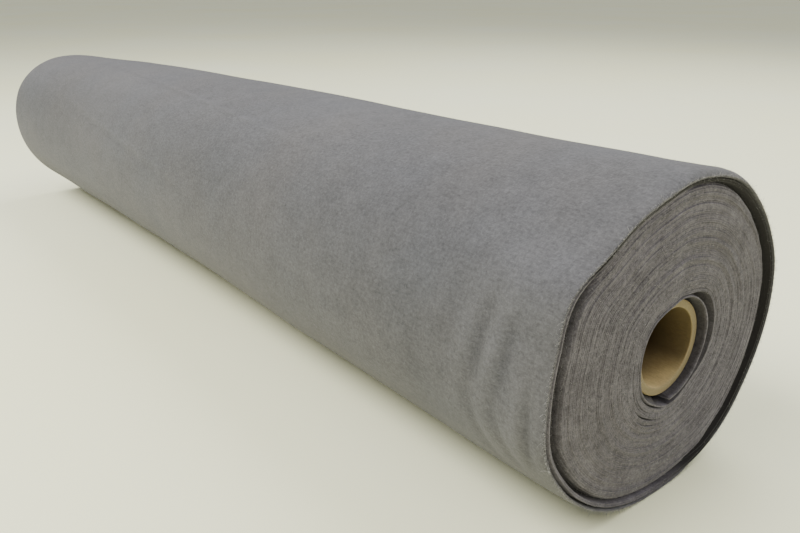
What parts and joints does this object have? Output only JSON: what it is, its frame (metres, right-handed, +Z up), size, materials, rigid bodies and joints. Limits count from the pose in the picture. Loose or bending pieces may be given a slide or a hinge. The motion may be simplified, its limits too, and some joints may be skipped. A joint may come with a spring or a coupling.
{
  "type": "roll of felt",
  "caption": "Roll of grey felt wound on a hollow cardboard tube and lying on its side, with a proud outer edge and sprung inner turns at one end.",
  "frame": {"origin": "on the surface the roll lies on, under the middle of its box", "axes": "+X along the roll towards its ragged end, +Z up; the cloth winds outwards from +Y towards +Z"},
  "size_m": [1, 0.2275, 0.203],
  "materials": {
    "felt": "soft napped grey felt, matt",
    "cardboard": "brown spirally wound board, matt"
  },
  "bodies": {
    "root": {"felt_roll": "felt", "core_tube": "cardboard"}
  },
  "joints": []
}
